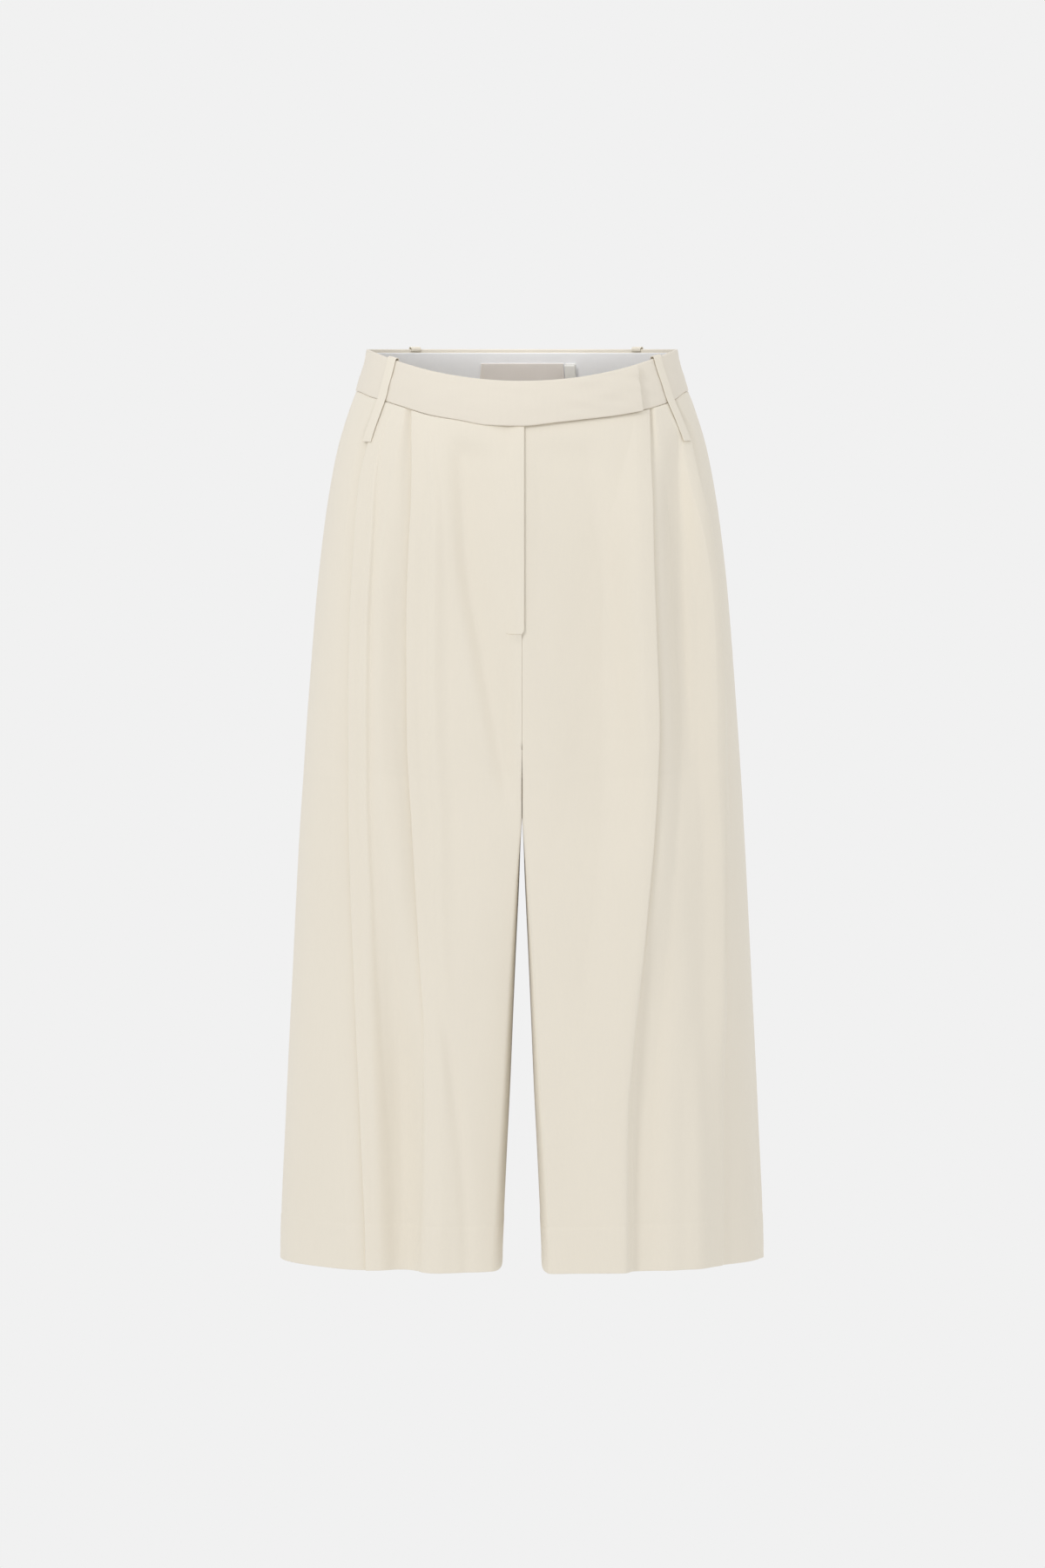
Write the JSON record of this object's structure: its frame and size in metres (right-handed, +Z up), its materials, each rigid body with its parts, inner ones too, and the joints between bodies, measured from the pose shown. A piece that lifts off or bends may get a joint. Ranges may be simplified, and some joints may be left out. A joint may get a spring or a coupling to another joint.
{
  "type": "culottes",
  "caption": "High-waisted pleated wide-leg culottes in ivory crepe, filled out and hollow, with a lapped waistband tab, fly front and long belt loops.",
  "frame": {"origin": "middle of the waist opening, level with the top edge of the back waistband, where the wearer's waist holds the garment", "axes": "+Z up, the front faces -Y, +X towards the wearer's left side"},
  "size_m": [0.4238, 0.2526, 0.7975],
  "materials": {
    "ivory_cloth": "matt ivory crepe suiting",
    "ivory_band": "matt ivory crepe suiting over firm interlining",
    "lining": "smooth pale grey lining with a faint sheen",
    "label_tape": "beige woven label tape, bare",
    "white_tape": "white woven tape"
  },
  "bodies": {
    "root": {"front_right": "ivory_cloth", "front_left": "ivory_cloth", "back_right": "ivory_cloth", "back_left": "ivory_cloth", "waistband_right": "ivory_band", "waistband_left": "ivory_band", "waistband_back": "ivory_band", "waistband_facing": "lining", "label": "label_tape", "size_tab": "white_tape", "fly_shield": "ivory_cloth", "belt_loop_front_right": "ivory_cloth", "belt_loop_front_left": "ivory_cloth", "belt_loop_back_right": "ivory_cloth", "belt_loop_back_left": "ivory_cloth"}
  },
  "joints": []
}
